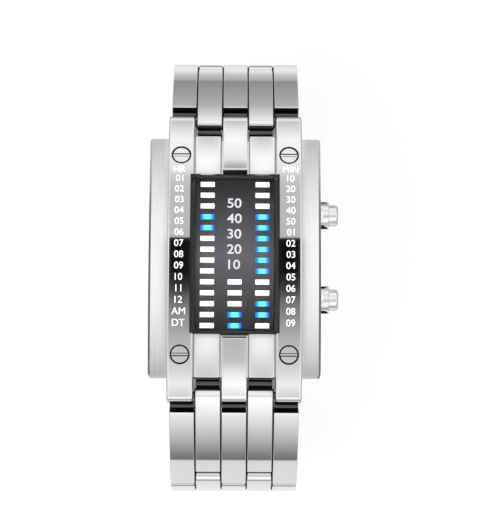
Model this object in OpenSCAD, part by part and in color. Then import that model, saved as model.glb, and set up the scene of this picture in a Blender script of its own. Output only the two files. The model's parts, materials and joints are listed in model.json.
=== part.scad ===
// Wristwatch with a bar-of-light display, a five-row link bracelet and a folding clasp.
// Millimetres. +Z leaves the dial, +Y points to 12 o'clock and +X to 3 o'clock.
// The origin is the centre of the case back's outer face.

/* [Display] */
// Rows of light bars in the hour and minute columns
light_rows = 14; // [12:1:16]
// Rows of the centre column that hold a light bar, counted from the lower end
centre_rows = 5; // [3:1:7]
// Distance between rows
row_pitch = 2.04; // [1.8:0.02:2.2]
// Width of a light bar
light_w = 2.65; // [2:0.05:3]
// Height of a light bar
light_h = 0.98; // [0.6:0.02:1.2]
// Distance of the hour and minute columns from the middle
column_x = 5.12; // [4.6:0.02:5.3]
// Lens left beyond the first and last light bar
lens_margin = 1.15; // [1.1:0.05:1.6]
// Thickness of the arched lens
lens_t = 1.4; // [1:0.1:1.6]
// How far the lens lies below the crest of the rails
lens_drop = 0.3; // [0.2:0.05:0.5]
// Corner radius of the lens seen from the front
lens_corner = 0.8; // [0.4:0.1:1.5]

/* [Case] */
// Shoulder of the case beside a rail
flange_w = 3.5; // [3.4:0.1:5]
// Case left beyond each end of the lens
end_plate_l = 7.55; // [7:0.05:9]
// Radius of the arched front
arch_r = 64; // [60:1:70]
// Height of the rails' crest above the case back
crest_h = 9.5; // [9.3:0.1:10.5]
// How far the shoulders rise above the rails' underside at mid-length
flange_rise = 0.2; // [0.1:0.05:0.6]
// Radius of the shoulders' arch
flange_r = 95; // [88:1:110]
// Corner radius of the case seen from the front
case_corner = 0.6; // [0.3:0.1:1.5]
// Bevel along the outer front edges of the shoulders
flange_bevel = 0.4; // [0.2:0.05:0.6]
// Thickness of the case back
back_t = 1.2; // [1:0.05:1.3]
// How far the case back stands proud of the case
back_proud = 0.4; // [0.2:0.05:0.6]
// Width of the case back
back_w = 26; // [25.4:0.1:27]
// Length of the case back
back_l = 34; // [33.6:0.1:34.6]

/* [Rails] */
// Thickness of the rails and of the bracelet's bars
link_t = 3; // [2.8:0.05:3.2]
// How far a rail reaches past the bracelet's outer bar
rail_overhang = 0.5; // [0.2:0.1:1]
// How far the lens is let into each rail
lens_bite = 0.65; // [0.5:0.05:0.8]
// Distance from the case's end to the lug pin
lug_reach = 3.25; // [2.8:0.05:3.6]
// Distance of the rail screws from mid-length
rail_screw_y = 18.8; // [18.2:0.1:19.4]
// Diameter of a rail screw's head
rail_screw_head = 3.4; // [2.8:0.1:3.6]
// Width of a rail screw's slot
slot_w = 0.5; // [0.3:0.05:0.7]

/* [Buttons] */
// Distance of each button from mid-length
button_y = 8; // [7.4:0.1:8.6]
// Height of the buttons' axis above the case back
button_z = 3.3; // [3.2:0.05:3.5]
// Diameter of a button's cap
cap_d = 4; // [3.6:0.1:4.3]
// Diameter of the collar around a cap
collar_d = 5.07; // [4.95:0.05:5.4]
// Length of the collar outside the case
collar_l = 1.55; // [1.4:0.05:2]
// Length of the cap outside the collar
cap_out = 1.7; // [1.3:0.05:2.2]
// Button travel
travel = 0.8; // [0.5:0.05:0.9]

/* [Bracelet] */
// Width of one bar
bar_w = 4.6; // [4.4:0.05:4.9]
// Gap between neighbouring bars
bar_gap = 0.25; // [0.2:0.05:0.4]
// Distance between the hinge pins of one link
pitch = 19.5; // [18.5:0.5:21]
// Arc that one link bends through
link_arc = 30; // [24:1:32]
// Slope of the first link
drop_1 = 45; // [42:1:48]
// Slope of the second link
drop_2 = 93; // [90:1:96]
// Slope of the third link
drop_3 = 145; // [142:1:147]
// Distance from a hinge pin to the square end of a bar
recess = 3.2; // [2.8:0.1:3.6]
// Radius along a bar's edges
bar_edge = 0.45; // [0.3:0.05:0.7]
// Radius of a hinge pin
pin_r = 0.6; // [0.5:0.05:0.7]

/* [Clasp] */
// Thickness of the two folding blades
blade_t = 1; // [0.8:0.05:1.1]
// Thickness of the cover's plate
cover_t = 1.2; // [1:0.1:1.6]
// Outer width of the cover
cover_w = 20; // [18:0.5:23]
// Thickness of the cover's side walls
cover_wall = 1.2; // [1:0.1:1.6]
// Length of the middle blade between its two hinges
blade_l = 32; // [30:0.5:33]
// Radius of the clasp's hinge eyes
eye_r = 1; // [0.9:0.05:1.05]
// Radius of the clasp's hinge pins
clasp_pin_r = 0.5; // [0.4:0.05:0.55]

/* [Hidden] */
fit = 0.05;
clear = 0.2;
seat = 0.02;
eps = 0.01;
hair = 0.03;
far = 60;
arch_a = 30;

// Front
arch_z = crest_h - arch_r;
rail_in = 1.5 * bar_w + 2 * bar_gap + 0.2;
rail_out = 2.5 * bar_w + 2 * bar_gap + rail_overhang;
rail_mid = (rail_in + rail_out) / 2;
rail_r = arch_r - link_t;
flange_h = crest_h - link_t + flange_rise;
lens_w = 2 * (rail_in + lens_bite);
lens_l = (light_rows - 1) * row_pitch + light_h + 2 * lens_margin;
lens_r = arch_r - lens_drop;
case_l = lens_l + 2 * end_plate_l;
case_w = 2 * (rail_out + flange_w);
gasket_t = 0.3;
ledge_r = lens_r - lens_t - gasket_t;
plate_top = arch_r - 0.4;
plate_bevel = 0.25;
lug_gap = 0.15;
lug_r = arch_r - link_t / 2;
lug_y = case_l / 2 + lug_reach;
lug_a = asin(lug_y / lug_r);
lug = [lug_y, arch_z + lug_r * cos(lug_a)];

// Inside of the case
body_z = back_proud;
open_w = lens_w - 1.7;
open_l = lens_l - 1.4;
gasket_w = 0.6;
gasket_rim = 1.2;
gasket_end = 4.4;
gasket_land = 0.8;
gasket_x = back_w / 2 - gasket_rim;
gasket_y = back_l / 2 - gasket_end;
board_ledge = 2;
cavity_w = 2 * (gasket_x - gasket_land);
cavity_l = min(2 * (gasket_y - gasket_land), open_l - 2 * board_ledge);
battery_r = min(cavity_w, cavity_l) / 2 - 1;
battery_t = 1.6;
battery_z = back_t + 0.05;
holder_h = 2.05;
cavity_z = battery_z + holder_h + 0.1;
board_t = 0.8;
board_z = cavity_z + 0.3;
board_w = open_w - 0.4;
board_l = open_l - 0.4;
chip_w = 1.6;
chip_l = 0.6;
chip_h = 0.6;
mcu_w = 4;
mcu_h = 0.65;
mcu = [3.5, mcu_w - battery_r];
crystal = [-3.9, mcu_w - battery_r];
crystal_w = 3.2;
crystal_l = 1.6;
crystal_h = 0.7;
switch_half = 1.8;
leaf_half = 1.5;
leaf_l = 3;
leaf_t = 0.15;
foot_l = 2;
mask_t = 0.6;
mask_z = board_z + board_t + chip_h + 0.1;
light_z = mask_z + mask_t + 0.05;
back_screw_in = [3.5, 2.3];
back_screw_x = back_w / 2 - back_screw_in[0];
back_screw_y = back_l / 2 - back_screw_in[1];
back_screw_r = 0.6;
back_screw_bite = 1.1;
back_head_r = 1.1;
back_head_h = 0.5;
back_slot = 0.4;
rail_screw_a = asin(rail_screw_y / arch_r);
rail_screw_r = 0.8;
rail_head_h = 0.9;
rail_screw_bite = 0.9;

// Buttons
wall_x = case_w / 2;
tube_r = 1.9;
tube_x = cavity_w / 2 + 0.4;
bore_r = 0.85;
stem_r = bore_r - fit;
pocket_l = 1.8;
pocket_x = tube_x + pocket_l;
pocket_r = 1.45;
cap_bore_x = wall_x + 0.2;
collar_x = wall_x + collar_l;
cap_r = cap_d / 2;
cap_x = collar_x - 0.5;
cap_end = collar_x + cap_out;
cap_edge = 0.6;
groove_r = 0.55;
clip_t = 0.3;
clip_x = tube_x - 0.1 - clip_t;
stem_x = clip_x - 0.6;
seal_x = tube_x + 0.9;
switch_x = stem_x - travel - fit;
wire_r = 0.15;
coil_r = (stem_r + pocket_r) / 2;
coil_turns = 4;

// Bracelet
link_r = pitch / (2 * sin(link_arc / 2));
drops = [drop_1, drop_2, drop_3];
pin_1 = lug + pitch * [cos(drop_1), -sin(drop_1)];
pin_2 = pin_1 + pitch * [cos(drop_2), -sin(drop_2)];
pin_3 = pin_2 + pitch * [cos(drop_3), -sin(drop_3)];
pins = [lug, pin_1, pin_2, pin_3];
column = bar_w + bar_gap;
bar_half = 2.5 * bar_w + 2 * bar_gap;
recess_a = 2 * asin(recess / (2 * link_r));
bind_r = 0.5;

// Clasp
clasp_y = pin_3[0];
clasp_z = pin_3[1];
end_z = clasp_z + 0.3;
mid_z = end_z - clear - blade_t;
cover_z = mid_z - clear - cover_t;
hinge_inset = 5.084;
hinge_y = clasp_y - hinge_inset;
hinge_z = mid_z - clear / 2;
fold_y = hinge_y - blade_l;
fold_z = end_z - clear / 2;
cover_in = cover_w / 2 - cover_wall;
blade_half = cover_in - clear;
tongue_l = 2.6;
cover_y0 = tongue_l - clasp_y;
wall_end = 2;
cover_y1 = hinge_y + wall_end;
fold_eye = 3;

SIDES = ["upper", "lower"];
LINKS = [1, 2, 3];
function link_nodes(s) = [for (k = LINKS, p = ["outer_bars", "inner_bars", "pins"])
  str(s, "_link_", k, "_", p)];
function button_nodes(s) = [for (p = ["", "_seal", "_clip", "_spring"]) str(s, "_button", p)];

$fn = 48;
arch_fn = 300;

// A drawing of radius against X, turned about an axis parallel to X through [y, z] = c.
// Angles run from +Z towards +Y.
module sweep(c, a0, a1) {
  translate([0, c[0], c[1]])
    rotate([0, 90, 0])
      rotate([0, 0, 180 - a1])
        rotate_extrude(angle = a1 - a0)
          children();
}

// A rod along X from x0 to x1 through [y, z] = c.
module rod(c, r, x0, x1) {
  translate([x0, c[0], c[1]])
    rotate([0, 90, 0])
      cylinder(r = r, h = x1 - x0);
}

// A turned piece: a drawing of radius against X, about an axis along +X through [y, z] = c.
module turned(c) {
  translate([0, c[0], c[1]])
    rotate([0, 90, 0])
      rotate_extrude()
        children();
}

module rounded(x0, y0, x1, y1, e) {
  translate([x0 + e, y0])
    square([x1 - x0 - 2 * e, y1 - y0]);
  translate([x0, y0 + e])
    square([x1 - x0, y1 - y0 - 2 * e]);
  for (x = [x0 + e, x1 - e], y = [y0 + e, y1 - e])
    translate([x, y])
      circle(e);
}

// A rectangle with bevelled corners at its larger x.
module bevelled(x0, y0, x1, y1, b) {
  polygon([[x0, y0], [x1 - b, y0], [x1, y0 + b], [x1, y1 - b], [x1 - b, y1], [x0, y1]]);
}

// A box with rounded upright corners, centred on the dial's axis.
module plan(w, l, e, z0, z1) {
  translate([0, 0, z0])
    linear_extrude(height = z1 - z0)
      rounded(-w / 2, -l / 2, w / 2, l / 2, e);
}

module box(x0, x1, y0, y1, z0, z1) {
  translate([x0, y0, z0])
    cube([x1 - x0, y1 - y0, z1 - z0]);
}

module upper_or_lower(s) {
  mirror([0, s == "lower" ? 1 : 0, 0])
    children();
}

module left_and_right() {
  children();
  mirror([1, 0, 0])
    children();
}

module four_corners() {
  for (y = [0, 1])
    mirror([0, y, 0])
      left_and_right()
        children();
}

// Room above the arched bed that the rails and end plates lie on, all round the lens.
module rail_bed() {
  difference() {
    box(-rail_out - fit, rail_out + fit, -case_l, case_l, 0, 2 * crest_h);
    box(-lens_w / 2 - fit, lens_w / 2 + fit, -lens_l / 2 - fit, lens_l / 2 + fit, -1, 3 * crest_h);
    rod([0, arch_z], rail_r - seat, -far, far, $fn = arch_fn);
  }
}

module along_rail_screw() {
  translate([rail_mid, 0, arch_z])
    rotate([-rail_screw_a, 0, 0])
      children();
}

// Section of a bar of the bracelet or of a rail, in radius and X.
module bar_section(r_mid, x0, x1) {
  rounded(r_mid - link_t / 2, x0, r_mid + link_t / 2, x1, bar_edge);
}

// The round end of a bar about the pin at c, a hair smaller than the bar so that their faces cross.
module knuckle(c, x0, x1) {
  r = link_t / 2 - hair;
  translate([0, c[0], c[1]])
    rotate([0, 90, 0])
      rotate_extrude()
        intersection() {
          rounded(-r, x0 + hair, r, x1 - hair, bar_edge);
          translate([0, x0])
            square([link_t, x1 - x0]);
        }
}

module shoulder_form() {
  intersection() {
    plan(case_w, case_l, case_corner, body_z, 2 * crest_h);
    rod([0, flange_h - flange_r], flange_r, -far, far, $fn = arch_fn);
  }
}

module shoulder_bevel() {
  sweep([0, flange_h - flange_r], -arch_a, arch_a, $fn = arch_fn)
    polygon([[flange_r - flange_bevel - 1, wall_x + 1],
             [flange_r + 1, wall_x + 1],
             [flange_r + 1, wall_x - flange_bevel - 1]]);
}

module case_body() {
  color("silver")
    difference() {
      union() {
        shoulder_form();
        intersection() {
          box(-rail_mid, rail_mid, -lens_l / 2 - 1, lens_l / 2 + 1, body_z + 1, crest_h);
          rod([0, arch_z], ledge_r, -far, far, $fn = arch_fn);
        }
      }
      left_and_right()
        shoulder_bevel();
      rail_bed();
      box(-open_w / 2, open_w / 2, -open_l / 2, open_l / 2, board_z, 2 * crest_h);
      box(-cavity_w / 2, cavity_w / 2, -cavity_l / 2, cavity_l / 2, 0, cavity_z);
      box(-open_w / 2 + 0.2, open_w / 2 - 0.2, 0.2 - cavity_l / 2, cavity_l / 2 - 0.2, 0, board_z + 1);
      plan(back_w + 2 * fit, back_l + 2 * fit, 2, 0, back_t);
      four_corners()
        translate([back_screw_x, back_screw_y, 0])
          cylinder(r = back_screw_r + seat, h = back_t + back_screw_bite + fit);
      four_corners()
        along_rail_screw()
          translate([0, 0, rail_r - rail_screw_bite - clear])
            cylinder(r = rail_screw_r + seat, h = link_t);
      for (s = SIDES)
        upper_or_lower(s) {
          rod([button_y, button_z], tube_r + seat, cavity_w / 2 - 1, wall_x + 1);
          box(open_w / 2 - 1, cavity_w / 2 - 0.5, button_y - switch_half - 0.4, button_y + switch_half + 0.4,
              cavity_z - 1, board_z + board_t + 0.1);
        }
    }
}

// The right-hand rail. Its ends are rounded about the lug pins.
module rail() {
  difference() {
    union() {
      sweep([0, arch_z], -lug_a, lug_a, $fn = arch_fn)
        bar_section(lug_r, rail_in, rail_out);
      for (s = SIDES)
        upper_or_lower(s)
          knuckle(lug, rail_in, rail_out);
    }
    box(0, lens_w / 2 + fit, -lens_l / 2 - fit, lens_l / 2 + fit, 0, 2 * crest_h);
    for (s = SIDES)
      upper_or_lower(s) {
        along_rail_screw() {
          translate([0, 0, arch_r - rail_head_h - fit])
            cylinder(r = rail_screw_head / 2 + 0.15, h = link_t);
          translate([0, 0, rail_r - 1])
            cylinder(r = rail_screw_r + fit, h = link_t + 1);
        }
        rod(lug, pin_r + fit, 0, bar_half - 0.25);
      }
  }
}

module left_rail() {
  color("gainsboro")
    mirror([1, 0, 0])
      rail();
}

module right_rail() {
  color("gainsboro")
    rail();
}

module rail_screws() {
  color("darkgray")
    four_corners()
      along_rail_screw()
        difference() {
          union() {
            translate([0, 0, arch_r - rail_head_h - fit / 2])
              cylinder(r = rail_screw_head / 2, h = rail_head_h);
            translate([0, 0, rail_r - rail_screw_bite])
              cylinder(r = rail_screw_r, h = link_t + rail_screw_bite - rail_head_h / 2);
          }
          box(-link_t, link_t, -slot_w / 2, slot_w / 2, arch_r - 0.5, arch_r + 1);
        }
}

// Fixed plates that carry the bracelet's second and fourth columns on to the case.
module end_plates() {
  intersection() {
    left_and_right()
      sweep([0, arch_z], 0, lug_a, $fn = arch_fn)
        bevelled(rail_r, column - bar_w / 2, plate_top, rail_in - fit, plate_bevel);
    box(-far, far, lens_l / 2 + 2 * fit, case_l / 2, 0, 2 * crest_h);
  }
}

module upper_end_plates() {
  color("gainsboro")
    end_plates();
}

module lower_end_plates() {
  color("gainsboro")
    upper_or_lower("lower")
      end_plates();
}

// The middle lug between the two end plates.
module centre_lug() {
  difference() {
    union() {
      sweep([0, arch_z], asin((lens_l / 2 + lug_gap) / rail_r), lug_a, $fn = arch_fn)
        bar_section(lug_r, -bar_w / 2, bar_w / 2);
      knuckle(lug, -bar_w / 2, bar_w / 2);
    }
    rod(lug, pin_r + fit, -far, far);
  }
}

module upper_centre_lug() {
  color("gainsboro")
    centre_lug();
}

module lower_centre_lug() {
  color("gainsboro")
    upper_or_lower("lower")
      centre_lug();
}

module display_lens() {
  color("dimgray", 0.5)
    intersection() {
      plan(lens_w, lens_l, lens_corner, 0, 2 * crest_h);
      sweep([0, arch_z], -arch_a, arch_a, $fn = arch_fn)
        translate([lens_r - lens_t, -far])
          square([lens_t, 2 * far]);
    }
}

module lens_gasket() {
  color("black")
    difference() {
      intersection() {
        plan(lens_w - 0.2, lens_l - 0.2, lens_corner, 0, 2 * crest_h);
        sweep([0, arch_z], -arch_a, arch_a, $fn = arch_fn)
          translate([ledge_r, -far])
            square([gasket_t, 2 * far]);
      }
      plan(open_w + 0.2, open_l + 0.2, 0.4, 0, 2 * crest_h);
    }
}

function row_y(n) = ((light_rows - 1) / 2 - n) * row_pitch;
first_centre = light_rows - centre_rows;

// Upright bars of one column, from row n0 down to the last row.
module bar_column(x, n0, w, h, z0, z1) {
  for (n = [n0 : light_rows - 1])
    translate([x - w / 2, row_y(n) - h / 2, z0])
      cube([w, h, z1 - z0]);
}

module all_columns(w, h, z0, z1) {
  bar_column(-column_x, 0, w, h, z0, z1);
  bar_column(0, first_centre, w, h, z0, z1);
  bar_column(column_x, 0, w, h, z0, z1);
}

module dial_mask() {
  color("black") {
    difference() {
      plan(open_w - 0.2, open_l - 0.2, 0.3, mask_z, mask_z + mask_t);
      all_columns(light_w, light_h, mask_z - 1, mask_z + mask_t + 1);
    }
    intersection() {
      four_corners()
        box(board_w / 2 - 0.5, board_w / 2, board_l / 2 - 0.5, board_l / 2, board_z + board_t, mask_z + eps);
      box(-far, far, -far, far, 0, mask_z + eps);
    }
  }
}

module hour_light_bars() {
  color("white")
    bar_column(-column_x, 0, light_w - 0.06, light_h - 0.06, mask_z, light_z);
}

module minute_light_bars() {
  color("white")
    bar_column(column_x, 0, light_w - 0.06, light_h - 0.06, mask_z, light_z);
}

module centre_light_bars() {
  color("white")
    bar_column(0, first_centre, light_w - 0.06, light_h - 0.06, mask_z, light_z);
}

module led_board() {
  color("darkgreen")
    box(-board_w / 2, board_w / 2, -board_l / 2, board_l / 2, board_z, board_z + board_t);
}

module led_chips() {
  color("khaki")
    all_columns(chip_w, chip_l, board_z + board_t, board_z + board_t + chip_h);
}

module microcontroller() {
  color("black")
    translate([mcu[0] - mcu_w / 2, mcu[1] - mcu_w / 2, board_z - mcu_h])
      cube([mcu_w, mcu_w, mcu_h]);
}

module quartz_crystal() {
  color("silver")
    translate([crystal[0] - crystal_w / 2, crystal[1] - crystal_l / 2, board_z - crystal_h])
      cube([crystal_w, crystal_l, crystal_h]);
}

module button_switches() {
  color("dimgray")
    for (y = [-button_y, button_y])
      box(board_w / 2, switch_x, y - switch_half, y + switch_half, button_z - 0.35, board_z + board_t - 0.1);
}

module battery_holder() {
  color("ivory")
    difference() {
      box(0.1 - cavity_w / 2, cavity_w / 2 - 0.1, 0.1 - cavity_l / 2, cavity_l / 2 - 0.1, back_t,
          battery_z + holder_h);
      translate([0, 0, back_t - 1])
        cylinder(r = battery_r + 0.15, h = far);
      for (y = [-button_y, button_y])
        box(board_w / 2 - 0.8, far, y - switch_half - 0.7, y + switch_half + 0.7, back_t + 0.4, far);
      box(-leaf_half - 0.7, leaf_half + 0.7, battery_r - 1, cavity_l / 2 - 0.7, back_t + 0.2, far);
    }
}

module battery_cell() {
  color("lightgray") {
    translate([0, 0, battery_z])
      cylinder(r = battery_r, h = battery_t - 0.3);
    translate([0, 0, battery_z])
      cylinder(r = battery_r - 1.2, h = battery_t);
  }
}

module battery_contacts() {
  top = battery_z + battery_t;
  color("gold") {
    box(-leaf_half, leaf_half, -leaf_l, leaf_l, top, top + leaf_t);
    box(-leaf_half, leaf_half, leaf_l - leaf_t, leaf_l, top, board_z);
    box(-leaf_half, leaf_half, leaf_l - leaf_t, leaf_l + foot_l, board_z - leaf_t, board_z);
    box(-leaf_half, leaf_half, battery_r, battery_r + leaf_t, battery_z + 0.3, board_z);
    box(-leaf_half, leaf_half, battery_r - foot_l, battery_r + leaf_t, board_z - leaf_t, board_z);
  }
}

module back_gasket() {
  color("black")
    difference() {
      plan(2 * gasket_x + gasket_w, 2 * gasket_y + gasket_w, 1, back_t - 0.4, back_t);
      plan(2 * gasket_x - gasket_w, 2 * gasket_y - gasket_w, 0.6, 0, far);
    }
}

module case_back() {
  color("silver")
    difference() {
      plan(back_w, back_l, 2, 0, back_t);
      difference() {
        plan(2 * gasket_x + gasket_w + fit, 2 * gasket_y + gasket_w + fit, 1, back_t - 0.4, far);
        plan(2 * gasket_x - gasket_w - fit, 2 * gasket_y - gasket_w - fit, 0.6, 0, far);
      }
      four_corners()
        translate([back_screw_x, back_screw_y, -back_t]) {
          cylinder(r = back_screw_r + fit, h = far);
          cylinder(r = back_head_r + fit, h = back_t + back_head_h + 2 * fit);
        }
    }
}

module back_screws() {
  color("darkgray")
    four_corners()
      translate([back_screw_x, back_screw_y, 0])
        difference() {
          union() {
            translate([0, 0, fit])
              cylinder(r = back_head_r, h = back_head_h);
            translate([0, 0, fit])
              cylinder(r = back_screw_r, h = back_t + back_screw_bite - fit);
          }
          box(-back_w, back_w, -back_slot / 2, back_slot / 2, -back_t, back_head_h / 2 + fit);
        }
}

// Turned tubes, each with a collar outside the case, that guide the buttons.
module button_tubes() {
  color("silver")
    for (y = [-button_y, button_y])
      turned([y, button_z])
        polygon([[bore_r, -tube_x], [tube_r, -tube_x], [tube_r, -wall_x],
                 [collar_d / 2 - 0.1, -wall_x], [collar_d / 2, -wall_x - 0.1],
                 [collar_d / 2, 0.25 - collar_x], [collar_d / 2 - 0.25, -collar_x],
                 [cap_r + fit, -collar_x], [cap_r + fit, -cap_bore_x],
                 [pocket_r, -cap_bore_x], [pocket_r, -pocket_x], [bore_r, -pocket_x]]
                * [[1, 0], [0, -1]]);
}

// A push button: rounded cap, stem, and grooves for its seal and clip.
module button() {
  turned([button_y, button_z]) {
    difference() {
      union() {
        intersection() {
          translate([0, cap_x])
            rounded(-cap_r, 0, cap_r, cap_end - cap_x, cap_edge);
          translate([0, cap_x + 0.7])
            square([2 * cap_r, far]);
        }
        translate([0, cap_x])
          square([cap_r, 1]);
        translate([0, stem_x])
          square([stem_r, cap_x - stem_x + 0.5]);
      }
      translate([groove_r, clip_x - fit])
        square([1, clip_t + 2 * fit]);
      translate([groove_r, seal_x - 0.2])
        square([stem_r - groove_r + 0.01, 0.4]);
    }
  }
}

module button_seal() {
  turned([button_y, button_z])
    translate([(groove_r + bore_r) / 2, seal_x])
      circle((bore_r - groove_r) / 2 - 0.01);
}

module button_clip() {
  difference() {
    turned([button_y, button_z])
      translate([groove_r + 0.01, clip_x])
        square([1.5 - groove_r, clip_t]);
    box(clip_x - 1, clip_x + 1, button_y - 0.45, button_y + 0.45, button_z - far, button_z);
  }
}

// One unbroken coil between the tube's pocket floor and the cap.
module button_spring() {
  rings = 8 * coil_turns;
  sides = 6;
  x0 = pocket_x + wire_r + fit;
  x1 = cap_x - wire_r - fit;
  function ring(i) = [for (j = [0 : sides - 1])
    let (a = 360 * i * coil_turns / rings, b = 360 * j / sides, r = coil_r + wire_r * cos(b))
      [x0 + (x1 - x0) * i / rings + wire_r * sin(b), button_y + r * cos(a), button_z + r * sin(a)]];
  points = [for (i = [0 : rings]) each ring(i)];
  walls = [for (i = [0 : rings - 1], j = [0 : sides - 1])
    let (p = i * sides + j, q = i * sides + (j + 1) % sides)
      each [[p, p + sides, q], [q, p + sides, q + sides]]];
  caps = [for (j = [1 : sides - 2])
    each [[0, j, j + 1], [rings * sides, rings * sides + j + 1, rings * sides + j]]];
  echo(spring_gap = (x1 - x0) / coil_turns - 2 * wire_r);
  polyhedron(points = points, faces = concat(walls, caps));
}

module button_piece(s, piece) {
  upper_or_lower(s) {
    if (piece == "_button")
      color("gainsboro")
        button();
    if (piece == "_button_seal")
      color("black")
        button_seal();
    if (piece == "_button_clip")
      color("darkgray")
        button_clip();
    if (piece == "_button_spring")
      color("silver")
        button_spring();
  }
}

function centre_of(k) = let (a = drops[k - 1] - link_arc / 2)
  pins[k - 1] - link_r * [sin(a), cos(a)];

// The two rods that bind the bars of link k.
function bind_at(k, t) = let (a = drops[k - 1] + t * link_arc)
  centre_of(k) + link_r * [sin(a), cos(a)];

module bind_holes(k) {
  for (t = [-0.17, 0.17])
    rod(bind_at(k, t), bind_r + seat, -far, far);
}

// Outer and centre bars: square at the near end, round about the far pin.
module outer_bars(k) {
  a0 = drops[k - 1] - link_arc / 2;
  a1 = drops[k - 1] + link_arc / 2;
  color("gainsboro")
    for (n = [-2, 0, 2])
      difference() {
        union() {
          sweep(centre_of(k), a0 + recess_a, a1)
            bar_section(link_r, n * column - bar_w / 2, n * column + bar_w / 2);
          knuckle(pins[k], n * column - bar_w / 2, n * column + bar_w / 2);
        }
        rod(pins[k], pin_r + fit, -far, far);
        bind_holes(k);
      }
}

// Bars of the second and fourth columns: round about the near pin, square at the far end.
module inner_bars(k) {
  a0 = drops[k - 1] - link_arc / 2;
  a1 = drops[k - 1] + link_arc / 2;
  color("gainsboro")
    for (n = [-1, 1])
      difference() {
        union() {
          sweep(centre_of(k), a0, a1 - recess_a)
            bar_section(link_r, n * column - bar_w / 2, n * column + bar_w / 2);
          knuckle(pins[k - 1], n * column - bar_w / 2, n * column + bar_w / 2);
        }
        rod(pins[k - 1], pin_r + seat, -far, far);
        bind_holes(k);
      }
}

// The link's own hinge pin and the two rods that bind its bars.
module link_pins(k) {
  end = bar_half - 0.3;
  color("darkgray") {
    rod(pins[k - 1], pin_r, -end, end);
    for (t = [-0.17, 0.17])
      rod(bind_at(k, t), bind_r, -end, end);
  }
}

module link_piece(s, k, piece) {
  upper_or_lower(s) {
    if (piece == "outer_bars")
      outer_bars(k);
    if (piece == "inner_bars")
      inner_bars(k);
    if (piece == "pins")
      link_pins(k);
  }
}

module clasp_upper_bar() {
  color("darkgray")
    rod([clasp_y, clasp_z], pin_r, 0.3 - bar_half, bar_half - 0.3);
}

module clasp_lower_bar() {
  color("darkgray")
    rod([-clasp_y, clasp_z], pin_r, 0.3 - bar_half, bar_half - 0.3);
}

// The blade that hangs on the upper half of the bracelet.
module clasp_end_blade() {
  top = end_z + blade_t;
  near = clasp_y - recess;
  color("silver")
    difference() {
      union() {
        box(-blade_half, blade_half, fold_y + eye_r + clear, near, end_z, top);
        rod([fold_y, fold_z], eye_r, -fold_eye, fold_eye);
        box(-fold_eye, fold_eye, fold_y, fold_y + eye_r + 2 * clear, end_z, fold_z + eye_r);
        for (n = [-1, 1]) {
          x0 = n * column - bar_w / 2;
          rod([clasp_y, clasp_z], link_t / 2, x0, x0 + bar_w);
          box(x0, x0 + bar_w, near - 0.5, clasp_y, end_z, top);
        }
      }
      rod([clasp_y, clasp_z], pin_r + seat, -far, far);
      rod([fold_y, fold_z], clasp_pin_r + fit, -far, far);
    }
}

// The blade between the end blade and the cover.
module clasp_mid_blade() {
  top = mid_z + blade_t;
  color("silver")
    difference() {
      union() {
        box(-blade_half, blade_half, fold_y, hinge_y, mid_z, top);
        left_and_right()
          rod([fold_y, fold_z], eye_r, fold_eye + clear, blade_half);
        rod([hinge_y, hinge_z], eye_r, -blade_half, blade_half);
      }
      box(-fold_eye - clear, fold_eye + clear, fold_y - 2 * eye_r, fold_y + eye_r + clear, -far, 0);
      rod([fold_y, fold_z], clasp_pin_r + seat, -far, far);
      rod([hinge_y, hinge_z], clasp_pin_r + seat, -far, far);
    }
}

module clasp_hinge_pins() {
  color("darkgray") {
    rod([fold_y, fold_z], clasp_pin_r, -blade_half, blade_half);
    rod([hinge_y, hinge_z], clasp_pin_r, 0.1 - cover_w / 2, cover_w / 2 - 0.1);
  }
}

// The cover: a plate with two side walls, and two tongues towards the lower half of the bracelet.
module clasp_cover() {
  top = end_z + blade_t;
  color("silver")
    difference() {
      union() {
        box(-cover_w / 2, cover_w / 2, cover_y0, hinge_y - eye_r - 1.5 * clear, cover_z, cover_z + cover_t);
        left_and_right()
          box(cover_in, cover_w / 2, cover_y0, cover_y1, cover_z, top);
        for (n = [-1, 1]) {
          x0 = n * column - bar_w / 2;
          box(x0, x0 + bar_w, pin_r + 0.35 - clasp_y, cover_y0 + 0.6, cover_z, clasp_z + 1);
        }
      }
      rod([hinge_y, hinge_z], clasp_pin_r + fit, -far, far);
      box(-far, far, cover_y1 - 1, far, cover_z - 1, hinge_z - eye_r);
    }
}

case_body();
left_rail();
right_rail();
rail_screws();
upper_end_plates();
lower_end_plates();
upper_centre_lug();
lower_centre_lug();
display_lens();
lens_gasket();
dial_mask();
hour_light_bars();
minute_light_bars();
centre_light_bars();
led_board();
led_chips();
microcontroller();
quartz_crystal();
button_switches();
battery_holder();
battery_cell();
battery_contacts();
back_gasket();
case_back();
back_screws();
button_tubes();
for (s = SIDES, p = ["_button", "_button_seal", "_button_clip", "_button_spring"])
  button_piece(s, p);
for (s = SIDES, k = LINKS, p = ["outer_bars", "inner_bars", "pins"])
  link_piece(s, k, p);
clasp_upper_bar();
clasp_lower_bar();
clasp_end_blade();
clasp_mid_blade();
clasp_hinge_pins();
clasp_cover();
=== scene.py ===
import json
import math

import bmesh
import bpy
from mathutils import Matrix, Vector


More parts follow.
